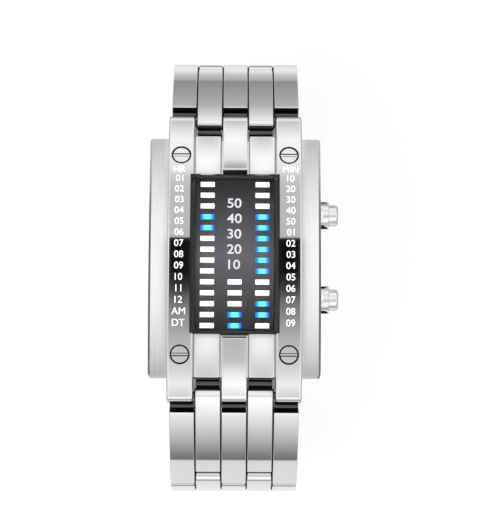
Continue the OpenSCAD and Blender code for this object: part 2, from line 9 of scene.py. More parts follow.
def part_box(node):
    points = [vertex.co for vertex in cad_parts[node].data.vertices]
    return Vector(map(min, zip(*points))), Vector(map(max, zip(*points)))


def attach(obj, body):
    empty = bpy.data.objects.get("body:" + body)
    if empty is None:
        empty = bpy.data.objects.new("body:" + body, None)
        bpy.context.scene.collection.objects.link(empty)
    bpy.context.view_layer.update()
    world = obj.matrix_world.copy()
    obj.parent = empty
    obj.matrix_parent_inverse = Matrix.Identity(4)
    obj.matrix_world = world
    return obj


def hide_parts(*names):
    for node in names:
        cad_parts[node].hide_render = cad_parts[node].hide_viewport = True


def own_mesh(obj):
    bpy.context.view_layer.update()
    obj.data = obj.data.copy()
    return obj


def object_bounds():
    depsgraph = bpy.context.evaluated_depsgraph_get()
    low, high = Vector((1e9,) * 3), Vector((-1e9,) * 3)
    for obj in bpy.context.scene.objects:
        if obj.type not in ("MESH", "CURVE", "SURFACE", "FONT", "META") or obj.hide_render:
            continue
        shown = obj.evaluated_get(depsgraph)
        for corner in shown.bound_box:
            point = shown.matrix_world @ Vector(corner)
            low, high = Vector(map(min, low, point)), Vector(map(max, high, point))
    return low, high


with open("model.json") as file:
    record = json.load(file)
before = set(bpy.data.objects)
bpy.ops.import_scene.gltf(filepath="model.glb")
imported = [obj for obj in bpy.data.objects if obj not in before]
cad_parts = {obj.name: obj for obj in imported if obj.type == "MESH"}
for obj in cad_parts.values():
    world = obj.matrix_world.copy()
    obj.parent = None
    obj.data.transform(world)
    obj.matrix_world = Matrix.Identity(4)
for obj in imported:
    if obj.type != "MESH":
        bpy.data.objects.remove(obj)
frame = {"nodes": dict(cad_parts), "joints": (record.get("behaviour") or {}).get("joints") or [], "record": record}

nodes = frame["nodes"]
cadLow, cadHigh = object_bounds()
mm = 0.001
near = 1e-6  # in metres; places this close count as one
facing = 0.9  # a face counts as facing an axis when its normal has this share along it
square = 0.99  # the same for a face that lies square to the axis
print("frame loaded:", len(nodes), "nodes")


# Selecting and finishing

def leaveEdit():
    bpy.ops.object.mode_set(mode="OBJECT")


def clearSelection():
    if bpy.context.mode != "OBJECT":
        leaveEdit()
    bpy.ops.object.select_all(action="DESELECT")


def activate(piece):
    clearSelection()
    piece.select_set(True)
    bpy.context.view_layer.objects.active = piece


def edit(piece):
    activate(piece)
    bpy.ops.object.mode_set(mode="EDIT")


def pick(piece, kind, test):
    # kind is VERT, EDGE or FACE; the piece is in edit mode
    bpy.ops.mesh.select_mode(type=kind)
    bpy.ops.mesh.select_all(action="DESELECT")
    shape = bmesh.from_edit_mesh(piece.data)
    parts = {"VERT": shape.verts, "EDGE": shape.edges, "FACE": shape.faces}[kind]
    for part in parts:
        if test(part):
            part.select_set(True)
    bmesh.update_edit_mesh(piece.data)


def middle(part):
    return sum((v.co for v in part.verts), Vector()) / len(part.verts)


def sharp(edge, degrees):
    return len(edge.link_faces) == 2 and edge.calc_face_angle() > math.radians(degrees)


def inSide(edge):
    # an edge that lies in a plane across X
    return abs(edge.verts[0].co.x - edge.verts[1].co.x) < near / 10


def bevelSharp(piece, width, segments, test=lambda e: True, degrees=30):
    pick(piece, "EDGE", lambda e: sharp(e, degrees) and test(e))
    bpy.ops.mesh.bevel(offset_type="OFFSET", offset=width * mm, segments=segments, profile=0.5,
                       affect="EDGES", clamp_overlap=True)


def drawStem(piece, test, step, move):
    # steps in from the edge of an end face and draws the rest out as a stem, in mm
    pick(piece, "FACE", test)
    bpy.ops.mesh.inset(thickness=step * mm)
    bpy.ops.mesh.extrude_region_move(TRANSFORM_OT_translate={"value": tuple(v * mm for v in move)})


def finishWith(piece, kind, **settings):
    activate(piece)
    modifier = piece.modifiers.new(kind.lower(), kind)
    for key, value in settings.items():
        setattr(modifier, key, value)
    bpy.ops.object.modifier_apply(modifier=modifier.name)


def settle(piece, matrix=None):
    # moves a piece and leaves its place in its mesh
    if matrix is not None:
        piece.matrix_world = matrix @ piece.matrix_world
    activate(piece)
    bpy.ops.object.transform_apply(location=True, rotation=True, scale=True)
    return piece


def smooth(piece, degrees=32, weight=50):
    activate(piece)
    bpy.ops.object.shade_smooth_by_angle(angle=math.radians(degrees))
    settle(piece, Matrix.Scale(1 / mm, 4))  # the modifier passes over very small faces
    finishWith(piece, "WEIGHTED_NORMAL", keep_sharp=True, weight=weight)
    settle(piece, Matrix.Scale(mm, 4))


def copyOf(piece, name, matrix=None):
    activate(piece)
    bpy.ops.object.duplicate(linked=False)
    twin = bpy.context.object
    twin.name = name
    return settle(twin, matrix)


def joined(pieces, name):
    activate(pieces[0])
    for piece in pieces:
        piece.select_set(True)
    bpy.ops.object.join()
    bpy.context.object.name = name
    return bpy.context.object


def turn(axis, degrees):
    return Matrix.Rotation(math.radians(degrees), 4, axis)


def shift(x, y, z):
    return Matrix.Translation(Vector((x, y, z)) * mm)


def block(name, low, high):
    # a cube at its size and place, in mm
    clearSelection()
    low, high = Vector(low) * mm, Vector(high) * mm
    bpy.ops.mesh.primitive_cube_add(size=1, location=(low + high) / 2)
    piece = bpy.context.object
    piece.name = name
    piece.scale = high - low
    return settle(piece)


def rod(name, radius, start, end, sides):
    # a cylinder between two points, in mm
    clearSelection()
    start, end = Vector(start) * mm, Vector(end) * mm
    along = end - start
    bpy.ops.mesh.primitive_cylinder_add(vertices=sides, radius=radius * mm, depth=along.length,
                                        location=(start + end) / 2,
                                        rotation=along.to_track_quat("Z", "Y").to_euler())
    bpy.context.object.name = name
    return settle(bpy.context.object)


def cut(piece, tools):
    cutter = joined(tools, "cutter") if len(tools) > 1 else tools[0]
    finishWith(piece, "BOOLEAN", operation="DIFFERENCE", solver="EXACT", use_self=False, object=cutter)
    bpy.data.objects.remove(cutter)


def spinAbout(centre, degrees, steps):
    # positive angles go from +Z towards +Y
    bpy.ops.mesh.spin(steps=steps, angle=math.radians(abs(degrees)), center=centre,
                      axis=(1 if degrees > 0 else -1, 0, 0))


def archedBar(name, bar):
    # sweeps the near end's upper edge along the arc, round or down the far end, and back underneath
    centre = Vector((0, bar["centre"][0], bar["centre"][1])) * mm
    radius, half = bar["radius"], bar["thick"] / 2
    x0, x1 = bar["sides"]
    a0, a1 = bar["angles"]
    steps = bar["steps"]

    def onArc(angle, r):
        a = math.radians(angle)
        return centre + Vector((0, math.sin(a), math.cos(a))) * r * mm

    def isTop(v):
        flat = Vector((0, v.co.y, v.co.z)) - centre
        return abs(flat.length - (radius + half) * mm) < near

    clearSelection()
    place = onArc(a0, radius) + Vector(((x0 + x1) / 2, 0, 0)) * mm
    bpy.ops.mesh.primitive_plane_add(size=1, location=place, rotation=(math.radians(90 - a0), 0, 0))
    piece = bpy.context.object
    piece.name = name
    piece.scale = ((x1 - x0) * mm, bar["thick"] * mm, 1)
    edit(settle(piece))
    if bar["round"][0]:
        pick(piece, "VERT", lambda v: not isTop(v))
        bpy.ops.mesh.delete(type="VERT")
    pick(piece, "EDGE", lambda e: all(isTop(v) for v in e.verts))
    spinAbout(centre, a1 - a0, steps)
    if bar["round"][1]:
        spinAbout(onArc(a1, radius), 180, bar["endSteps"])
    else:
        down = onArc(a1, radius - half) - onArc(a1, radius + half)
        bpy.ops.mesh.extrude_edges_move(TRANSFORM_OT_translate={"value": down})
    spinAbout(centre, a0 - a1, steps)
    if bar["round"][0]:
        spinAbout(onArc(a0, radius), 180, bar["endSteps"])
    bpy.ops.mesh.select_all(action="SELECT")
    bpy.ops.mesh.remove_doubles(threshold=2 * near)
    for x in (x0, x1):
        pick(piece, "EDGE", lambda e: e.is_boundary and all(abs(v.co.x - x * mm) < near for v in e.verts))
        bpy.ops.mesh.edge_face_add()
    bpy.ops.mesh.select_all(action="SELECT")
    bpy.ops.mesh.normals_make_consistent(inside=False)
    if "corner" in bar:
        upright = bar["thick"] * mm * 0.9  # the arc's own edges are shorter than this
        bevelSharp(piece, bar["corner"], bar["cornerSteps"],
                   lambda e: inSide(e) and (e.verts[0].co - e.verts[1].co).length > upright)
    bevelSharp(piece, bar["endEdge"], bar["endEdgeSteps"], lambda e: not inSide(e))
    bevelSharp(piece, bar["edge"], bar["edgeSteps"], inSide)
    leaveEdit()
    return piece


def camel(words):
    # the name that a node's or a slot's words have here
    first, *rest = words.split("_")
    return first + "".join(part.title() for part in rest)


def softened(node, width, segments, degrees=35, flat=0.2):
    # a merged copy of a CAD node with its sharp edges eased
    piece = bpy.data.objects.new(camel(node), nodes[node].data.copy())
    bpy.context.scene.collection.objects.link(piece)
    edit(piece)
    bpy.ops.mesh.select_all(action="SELECT")
    bpy.ops.mesh.remove_doubles(threshold=near)
    bpy.ops.mesh.dissolve_limited(angle_limit=math.radians(flat))
    leaveEdit()
    bpy.ops.mesh.customdata_custom_splitnormals_clear()
    finishWith(piece, "BEVEL", width=width * mm, segments=segments, limit_method="ANGLE",
               angle_limit=math.radians(degrees), use_clamp_overlap=True, miter_outer="MITER_ARC")
    smooth(piece)
    return piece


def dress(piece, *names):
    piece.data.materials.clear()
    for name in names:
        piece.data.materials.append(finishes[name])
    return piece


def second(piece, test, place=1):
    # gives the faces that pass the test the piece's second finish, or a later one
    for face in piece.data.polygons:
        if test(face):
            face.material_index = place


def carry(piece, body, replaced=()):
    # rides a finished piece on its body
    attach(piece, body)
    if replaced:
        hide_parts(*replaced)


# Finishes

class Flow:
    # a node socket that takes part in sums
    def __init__(self, tree, socket=None):
        self.tree, self.socket = tree, socket

    def node(self, kind, settings=None, inputs=None, output=0):
        made = self.tree.nodes.new(kind)
        for key, value in (settings or {}).items():
            if key == "stops":
                ramp = made.color_ramp
                while len(ramp.elements) < len(value):
                    ramp.elements.new(1)
                for element, (place, level) in zip(ramp.elements, value):
                    element.position = place
                    element.color = (level, level, level, 1)
            else:
                setattr(made, key, value)
        for key, value in (inputs or {}).items():
            if isinstance(value, Flow):
                self.tree.links.new(value.socket, made.inputs[key])
            else:
                made.inputs[key].default_value = value
        return Flow(self.tree, made.outputs[output] if made.outputs else None)

    def sum(self, operation, *values):
        return self.node("ShaderNodeMath", {"operation": operation}, dict(enumerate(values)))

    def __add__(self, other):
        return self.sum("ADD", self, other)

    def __sub__(self, other):
        return self.sum("SUBTRACT", self, other)

    def __mul__(self, other):
        return self.sum("MULTIPLY", self, other)

    def __truediv__(self, other):
        return self.sum("DIVIDE", self, other)

    def __rsub__(self, other):
        return self.sum("SUBTRACT", other, self)

    __radd__ = __add__
    __rmul__ = __mul__

    def place(self):
        return self.node("ShaderNodeTexCoord", output="Object")

    def axis(self, letter):
        return self.node("ShaderNodeSeparateXYZ", inputs={0: self}, output="XYZ".index(letter))

    def noise(self, scale, detail):
        # this value is the place
        return self.node("ShaderNodeTexNoise", inputs={"Vector": self, "Scale": scale, "Detail": detail})

    def bump(self, strength, depth):
        # this value is the height, and depth is in mm
        return self.node("ShaderNodeBump", inputs={"Strength": strength, "Distance": depth * mm,
                                                   "Height": self})

    def colours(self, first, second):
        # goes from the first colour to the second as this value goes from 0 to 1
        return self.node("ShaderNodeMix", {"data_type": "RGBA"},
                         {0: self, 6: (*first, 1), 7: (*second, 1)}, output=2)


def finishTree(name):
    finish = bpy.data.materials.new(name)
    finish.use_nodes = True
    finish.node_tree.nodes.clear()
    return finish, Flow(finish.node_tree)


def showAs(flow, shader):
    flow.node("ShaderNodeOutputMaterial", inputs={"Surface": shader})


def scaled(colour, factor):
    return tuple(min(1, c * factor) for c in colour)


noiseLow, noiseMiddle, noiseHigh = 0.3, 0.5, 0.7  # nearly all of a noise lies between the outer two


def grainFinish(name, look):
    # a grain stretched along the piece, cloudy wear over it, and a fine bump
    finish, flow = finishTree(name)
    place = flow.place()
    grainPlace = flow.node("ShaderNodeMapping", inputs={"Vector": place, "Scale": look["stretch"]})
    grain = grainPlace.noise(look["grain"], look["grainDetail"])
    cloud = place.noise(look["cloud"], look["cloudDetail"])
    shade = grain * look["mix"] + cloud * (1 - look["mix"])
    tone = flow.node("ShaderNodeMapRange", inputs={0: shade, 1: noiseLow, 2: noiseHigh})
    colour = tone.colours(scaled(look["colour"], 1 - look["vary"]), scaled(look["colour"], 1 + look["vary"]))
    fromMiddle = (grain - noiseMiddle) * look["spread"]
    roughness = look["roughness"] + fromMiddle + (cloud - noiseMiddle) * look["wear"]
    showAs(flow, flow.node("ShaderNodeBsdfPrincipled", inputs={
        "Base Color": colour, "Roughness": roughness, "Metallic": look["metal"],
        "Normal": grain.bump(look["bump"], look["depth"])}))
    return finish


along = (1, 0.02, 0.02)  # grain lines in the plane of the bracelet's curve
even = (1, 1, 1)
plainGrain = {"mix": 0.5, "metal": 0.0, "spread": 0.15, "wear": 0.05, "grain": 9000, "grainDetail": 3.0,
              "cloud": 900, "cloudDetail": 4.0, "stretch": even, "bump": 0.3, "depth": 0.008}
metalGrain = dict(plainGrain, mix=0.6, metal=1.0, wear=0.1, grain=6000, cloud=300, bump=0.2, depth=0.006)
printGrain = dict(plainGrain, roughness=0.5, grain=16000, bump=0.15, depth=0.004)
grainLooks = {
    "polishedSteel": dict(metalGrain, colour=(0.86, 0.86, 0.87), vary=0.03, roughness=0.06, spread=0.03,
                          wear=0.03, grain=9000, cloud=160, stretch=along, bump=0.015, depth=0.001),
    "brushedSteel": dict(metalGrain, colour=(0.84, 0.84, 0.85), vary=0.07, mix=0.8, roughness=0.13,
                         spread=0.06, wear=0.04, grain=7000, cloud=120, stretch=along, bump=0.1, depth=0.004),
    "satinSteel": dict(metalGrain, colour=(0.87, 0.87, 0.88), vary=0.03, mix=0.7, roughness=0.13, spread=0.06,
                       wear=0.04, grain=8000, cloud=150, stretch=along, bump=0.04, depth=0.003),
    # painted shade: near-black steel for the gaps, the bores round the screws, the screw slots and the ends where
    # shade falls
    "gapShade": dict(metalGrain, colour=(0.05, 0.05, 0.052), vary=0.2, roughness=0.4),
    # painted shade: dark steel for the link pins and the rods that fill the gaps
    "hingePin": dict(metalGrain, colour=(0.1, 0.1, 0.102), vary=0.15, roughness=0.22, spread=0.1,
                     stretch=(1, 0.3, 0.3), bump=0.1, depth=0.004),
    "pinSteel": dict(metalGrain, colour=(0.5, 0.5, 0.51), vary=0.1, roughness=0.3, stretch=(1, 0.3, 0.3)),
    "blackRubber": dict(plainGrain, colour=(0.012, 0.012, 0.012), vary=0.35, roughness=0.6, spread=0.2,
                        wear=0.1, cloud=400, depth=0.01),
    "blackPlastic": dict(plainGrain, colour=(0.02, 0.02, 0.022), vary=0.25, mix=0.6, roughness=0.5, wear=0.08,
                         grain=12000, cloud=300),
    "circuitBoard": dict(plainGrain, colour=(0.02, 0.15, 0.08), vary=0.3, mix=0.4, roughness=0.35, spread=0.1,
                         wear=0.1, grain=5000, cloud=500, stretch=(1, 0.1, 1), depth=0.02),
    "ledPackage": dict(plainGrain, colour=(0.85, 0.8, 0.55), vary=0.08, roughness=0.3, spread=0.1, bump=0.1,
                       depth=0.005),
    "ivoryPlastic": dict(plainGrain, colour=(0.82, 0.78, 0.66), vary=0.05, roughness=0.45, spread=0.12,
                         wear=0.08, cloud=200, bump=0.2),
    "cellSteel": dict(metalGrain, colour=(0.72, 0.72, 0.73), vary=0.05, mix=0.4, roughness=0.22, spread=0.1,
                      wear=0.12, grain=5000, cloud=180, bump=0.08),
    "crystalCan": dict(metalGrain, colour=(0.76, 0.76, 0.77), vary=0.06, roughness=0.25, wear=0.05,
                       grain=7000, cloud=500, stretch=(0.05, 1, 1), bump=0.15),
    "contactBrass": dict(metalGrain, colour=(0.8, 0.62, 0.28), vary=0.08, mix=0.5, roughness=0.25,
                         spread=0.12, grain=7000, cloud=400, stretch=(1, 0.05, 1), bump=0.12),
    "whitePrint": dict(printGrain, colour=(0.9, 0.9, 0.9), vary=0.04),
    "greyPrint": dict(printGrain, colour=(0.85, 0.85, 0.86), vary=0.05),
}
finishes = {name: grainFinish(name, look) for name, look in grainLooks.items()}


glassLook = {"tint": (0.86, 0.865, 0.88), "streak": 0.97, "ior": 1.16, "roughness": 0.015, "smear": 0.03,
             "cloud": 260, "detail": 5.0}


def smokedGlass(look):
    finish, flow = finishTree("smokedGlass")
    smear = flow.place().noise(look["cloud"], look["detail"])
    colour = smear.colours(scaled(look["tint"], look["streak"]), look["tint"])
    showAs(flow, flow.node("ShaderNodeBsdfPrincipled", inputs={
        "Base Color": colour, "Roughness": look["roughness"] + smear * look["smear"], "IOR": look["ior"],
        "Transmission Weight": 1.0}))
    return finish


dialLook = {"dark": (0.004, 0.004, 0.0045), "light": (0.115, 0.115, 0.118), "reach": 15.5, "centre": -0.4,
            "gloss": 0.1, "grain": 14000, "detail": 2.0, "speckle": 0.12, "roughness": 0.45, "spread": 0.2,
            "bump": 0.2, "depth": 0.006}


def dialSheenFinish(look):
    # a dark dial that is lighter towards the middle, a painted highlight that stands in for the lens's soft
    # reflection
    finish, flow = finishTree("dialPrint")
    place = flow.place()
    grain = place.noise(look["grain"], look["detail"])
    distance = flow.sum("ABSOLUTE", place.axis("Y") / (look["reach"] * mm) - look["centre"] / look["reach"])
    nearness = 1 - distance + (grain - noiseMiddle) * look["speckle"]
    glow = flow.node("ShaderNodeMapRange", inputs={0: nearness, 1: 0.0, 2: 1.0})
    showAs(flow, flow.node("ShaderNodeBsdfPrincipled", inputs={
        "Base Color": glow.colours(look["dark"], look["light"]),
        "Roughness": look["roughness"] + grain * look["spread"], "Specular IOR Level": look["gloss"],
        "Normal": grain.bump(look["bump"], look["depth"])}))
    return finish


lightLook = {"column": 5.12, "halfWidth": 1.3, "coreTo": 0.2, "endFrom": 0.92, "grain": 7000, "detail": 2.0,
             "speckle": 0.06, "roughness": 0.35, "spread": 0.15, "gloss": 0.1,
             # the unlit bars' glow is painted light
             "off": {"base": ((0.86, 0.87, 0.9), (0.93, 0.94, 0.96)),
                     "glow": ((0.95, 0.97, 1.0), (0.9, 0.92, 0.96)), "strength": 0.75},
             "on": {"base": ((0.02, 0.4, 0.5), (0.0, 0.04, 0.4)),
                    "glow": ((0.15, 0.95, 1.0), (0.0, 0.16, 0.85)), "strength": 1.15}}


def lightFinish(name, lit, look):
    # diffuser bars, lit ones with a cyan core and blue ends; the unlit ones glow white, painted light for the
    # light they would catch under the lens
    finish, flow = finishTree(name)
    place = flow.place()
    grain = place.noise(look["grain"], look["detail"])
    fromColumn = flow.sum("WRAP", place.axis("X") / mm, look["column"] / 2, -look["column"] / 2)
    distance = flow.sum("ABSOLUTE", fromColumn) / look["halfWidth"] + (grain - noiseMiddle) * look["speckle"]
    spread = flow.node("ShaderNodeMapRange", {"interpolation_type": "SMOOTHSTEP"},
                       {0: distance, 1: look["coreTo"], 2: look["endFrom"]})
    tints = look["on" if lit else "off"]
    showAs(flow, flow.node("ShaderNodeBsdfPrincipled", inputs={
        "Base Color": (spread if lit else grain).colours(*tints["base"]),
        "Roughness": look["roughness"] + grain * look["spread"], "Specular IOR Level": look["gloss"],
        "Emission Color": spread.colours(*tints["glow"]), "Emission Strength": tints["strength"]}))
    return finish


finishes["smokedGlass"] = smokedGlass(glassLook)
finishes["dialPrint"] = dialSheenFinish(dialLook)
finishes["lightOff"] = lightFinish("lightOff", False, lightLook)
finishes["lightOn"] = lightFinish("lightOn", True, lightLook)
print("finishes ready:", len(finishes))


# Sizes of the CAD model, in mm and degrees; only the recess before a bar's square end is smaller here
watch = {"archRadius": 64.0, "thick": 3.0, "linkArc": 30.0, "barWidth": 4.6, "barGap": 0.25, "recess": 2.92,
         "lugGap": 0.15, "pinRadius": 0.6, "fit": 0.05, "bindRadius": 0.5, "bindFit": 0.02, "bindAt": 0.17}
halfBar = watch["barWidth"] / 2
barPitch = watch["barWidth"] + watch["barGap"]
holeReach, holeSides = 5.0, 28  # holes for pins are cut past both sides of a bar


def boxOf(node):
    low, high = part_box(node)
    return low / mm, high / mm


def hinge(name):
    place = next(joint["pos_m"] for joint in frame["joints"] if joint["name"] == name)
    return Vector((0, place[1], place[2])) / mm


def chordAngle(chord, radius):
    # the angle between two places on an arc that are this far apart
    return 2 * math.degrees(math.asin(chord / (2 * radius)))


railLow, railHigh = boxOf("right_rail")
lensLow, lensHigh = boxOf("display_lens")
pins = [hinge(f"upper_link_{n}_hinge") for n in (1, 2, 3)] + [hinge("clasp_end_hinge")]
drops = [math.degrees(math.atan2(a.z - b.z, b.y - a.y)) for a, b in zip(pins, pins[1:])]
archZ = railHigh.z - watch["archRadius"]
archMid = watch["archRadius"] - watch["thick"] / 2
lug = pins[0]
lugAngle = math.degrees(math.asin(lug.y / archMid))
linkRadius = (pins[1] - lug).length / (2 * math.sin(math.radians(watch["linkArc"] / 2)))


# Bracelet: one bar is modelled and copied
steelAndShade = ["polishedSteel", "gapShade"]
barBase = {"thick": watch["thick"], "edge": 0.4, "edgeSteps": 4, "endEdge": 0.1, "endEdgeSteps": 2}
linkBar = dict(barBase, centre=(0, 0), radius=linkRadius, sides=(-halfBar, halfBar),
               angles=(chordAngle(watch["recess"], linkRadius) - watch["linkArc"] / 2, watch["linkArc"] / 2),
               round=(False, True), steps=28, endSteps=14, shade=0.9)
gapLook = {"radius": 0.67, "sides": 40, "short": 0.1, "fromPin": 2.21, "edge": 0.08, "edgeSteps": 2,
           "wider": 0.2}
coreHalf = halfBar + gapLook["wider"]
coreBar = dict(linkBar, sides=(-coreHalf, coreHalf), thick=2.3, edge=0.05, edgeSteps=1,
               endEdge=0.05)  # painted shade: dark sides that close the slits beside the inner bars


def barHoles(radius):
    # the hinge pin and the two rods that bind a link
    spots = [(watch["linkArc"] / 2, watch["pinRadius"] + watch["fit"])]
    for share in (-watch["bindAt"], watch["bindAt"]):
        spots.append((share * watch["linkArc"], watch["bindRadius"] + watch["bindFit"]))
    tools = []
    for angle, size in spots:
        y, z = (radius * f(math.radians(angle)) for f in (math.sin, math.cos))
        tools.append(rod("hole", size, (-holeReach, y, z), (holeReach, y, z), holeSides))
    return tools


def gapRod(y, z):
    # a dark rod that fills the gap before a bar's square end: painted shade where the gap would show through
    half = halfBar - gapLook["short"]
    piece = rod("gapRod", gapLook["radius"], (-half, y, z), (half, y, z), gapLook["sides"])
    edit(piece)
    bevelSharp(piece, gapLook["edge"], gapLook["edgeSteps"])
    leaveEdit()
    smooth(piece)
    dress(piece, *steelAndShade, "hingePin")
    second(piece, lambda f: True, 2)
    return piece


def barPatterns():
    # a bar with the painted-shade rod in its gap, and for the inner rows with the painted-shade core too
    bar = archedBar("linkBar", linkBar)
    core = archedBar("linkCore", coreBar)
    for piece in (bar, core):
        cut(piece, barHoles(linkRadius))
        smooth(piece)
        dress(piece, *steelAndShade, "hingePin")
    second(core, lambda f: True)
    before = math.radians(chordAngle(gapLook["fromPin"], linkRadius) - watch["linkArc"] / 2)
    filler = gapRod(linkRadius * math.sin(before), linkRadius * math.cos(before))
    outer = joined([copyOf(bar, "bar"), copyOf(filler, "rod")], "outerBar")
    return {"outer": outer, "inner": joined([bar, core, filler], "innerBar")}


def makeBracelet():
    # five bars and four gaps lie side by side; their sides facing the gaps get painted shade, and the sides at
    # their ends stay bright
    sideMargin = 0.1
    outside = (2.5 * watch["barWidth"] + 2 * watch["barGap"] - sideMargin) * mm
    patterns = barPatterns()
    for number, (pin, drop) in enumerate(zip(pins, drops), 1):
        start = math.radians(drop - watch["linkArc"] / 2)
        centre = pin - Vector((0, math.sin(start), math.cos(start))) * linkRadius
        for side in ("upper", "lower"):
            flip = turn("Z", 180 if side == "lower" else 0)
            inward = flip @ (pins[0] - pins[1]).normalized()
            for group, columns, back in (("outer", (-2, 0, 2), 0), ("inner", (-1, 1), 180)):
                bars = []
                for n in columns:
                    place = flip @ shift(n * barPitch, centre.y, centre.z)
                    place = place @ turn("X", -drop) @ turn("Z", back)
                    bars.append(copyOf(patterns[group], "bar", place))
                node = f"{side}_link_{number}_{group}_bars"
                piece = joined(bars, camel(node))
                # painted shade on the sides that face the gaps between the columns
                second(piece, lambda f: abs(f.normal.x) > facing and abs(f.center.x) < outside)
                if number == 1:  # painted shade on the ends that face the case
                    second(piece, lambda f: f.material_index == 0 and f.normal.dot(inward) > linkBar["shade"])
                carry(piece, f"{side}_link_{number}", [node])
    for pattern in patterns.values():
        bpy.data.objects.remove(pattern)
    print("bracelet made")


# Rails, lugs, plates and screws
railBar = dict(barBase, centre=(0, archZ), radius=archMid, sides=(railLow.x, railHigh.x),
               angles=(-lugAngle, lugAngle), round=(True, True), steps=120, endSteps=16, shade=0.75)
railCuts = {"notchZ": (-10, 30), "pinFrom": 5.0, "pinWall": 0.25}
lugStart = math.degrees(math.asin((lensHigh.y + watch["lugGap"]) / (watch["archRadius"] - watch["thick"])))
lugBar = dict(railBar, sides=linkBar["sides"], angles=(lugStart, lugAngle), round=(False, True), steps=24,
              satin=0.8)
plateLook = {"edge": 0.14, "edgeSteps": 3, "from": 21.5, "reach": 0.38, "fall": 0.14, "endFrom": 20.0}
screwLook = {"x": 10.05, "y": 18.8, "radius": 1.56, "height": 0.9, "sides": 64, "shank": 0.8, "bite": 3.0,
             "drop": 0.025, "rim": 0.12, "rimSteps": 3, "topBand": 0.03, "slot": 0.64, "slotDepth": 0.12,
             "slotReach": 3.0, "slotEdge": 0.04, "slotEdgeSteps": 2, "slotCorner": 0.15, "shadeFrom": 0.05,
             "bore": 1.85, "boreFit": 0.02, "boreLip": 0.1, "above": 1.0}
screwAngle = math.degrees(math.asin(screwLook["y"] / watch["archRadius"]))


def radial(angle):
    # a place on the arch's axis, turned so that +Z leaves the arch at that angle
    return shift(0, 0, archZ) @ turn("X", -angle)


def inBore(face):
    # the walls round a screw's head, which get painted shade
    look = screwLook
    for side in (-1, 1):
        spot = radial(side * screwAngle).inverted() @ face.center / mm
        reach = math.hypot(spot.x - look["x"], spot.y)
        if reach < look["bore"] + look["boreFit"] and spot.z < watch["archRadius"] - look["boreLip"]:
            return True
    return False


def isArchEnd(face):
    # the round ends that face into the gap before the first links, which get painted shade
    a = math.radians(lugAngle)
    outward = Vector((0, math.copysign(math.cos(a), face.center.y), -math.sin(a)))
    return face.normal.dot(outward) > railBar["shade"]


def makeRails():
    look = screwLook
    rail = archedBar("rightRail", railBar)
    half = lensHigh.y + watch["fit"]
    top = watch["archRadius"]
    low, high = railCuts["notchZ"]
    tools = [block("notch", (0, -half, low), (lensHigh.x + watch["fit"], half, high))]
    for side in (-1, 1):
        y, z = side * lug.y, lug.z
        tools.append(rod("pinHole", watch["pinRadius"] + watch["fit"], (railCuts["pinFrom"], y, z),
                         (railHigh.x - railCuts["pinWall"], y, z), holeSides))
        bore = rod("bore", look["bore"], (look["x"], 0, top - look["height"] - watch["fit"]),
                   (look["x"], 0, top + look["above"]), look["sides"])
        tools.append(settle(bore, radial(side * screwAngle)))
    for tool in tools:
        cut(rail, [tool])
    smooth(rail, weight=100)  # the narrow faces round the bores follow the wide ones
    dress(rail, *steelAndShade)
    # painted shade in the bores round the screw heads and on the ends at the gap
    second(rail, lambda f: inBore(f) or isArchEnd(f))
    carry(copyOf(rail, "leftRail", turn("Z", 180)), "case", ["left_rail"])
    carry(rail, "case", ["right_rail"])
    print("rails made")


def makeLugs():
    piece = archedBar("upperCentreLug", lugBar)
    smooth(piece)
    dress(piece, *steelAndShade, "satinSteel")
    # painted shade on the round end at the gap
    second(piece, isArchEnd)
    second(piece, lambda f: f.normal.y < -lugBar["satin"], 2)
    carry(copyOf(piece, "lowerCentreLug", turn("Z", 180)), "case", ["lower_centre_lug"])
    carry(piece, "case", ["upper_centre_lug"])
    print("centre lugs made")


def makePlates():
    look = plateLook
    rodAt = math.radians(lugAngle - chordAngle(gapLook["fromPin"], archMid))
    for side, way in (("upper", 1), ("lower", -1)):
        node = f"{side}_end_plates"
        plates = softened(node, look["edge"], look["edgeSteps"])
        dress(plates, "satinSteel", "gapShade", "hingePin")
        edit(plates)
        pick(plates, "VERT", lambda v: v.co.y * way > look["from"] * mm)
        bpy.ops.transform.translate(value=(0, way * look["reach"] * mm, -look["fall"] * mm))
        leaveEdit()
        # painted shade on the plates' ends at the gap
        second(plates, lambda f: abs(f.normal.y) > facing and abs(f.center.y) > look["endFrom"] * mm)
        rods = []
        for column in (-1, 1):
            filler = gapRod(way * archMid * math.sin(rodAt), archZ + archMid * math.cos(rodAt))
            rods.append(settle(filler, shift(column * barPitch, 0, 0)))
        carry(joined([plates, *rods], plates.name), "case", [node])
    print("end plates made")


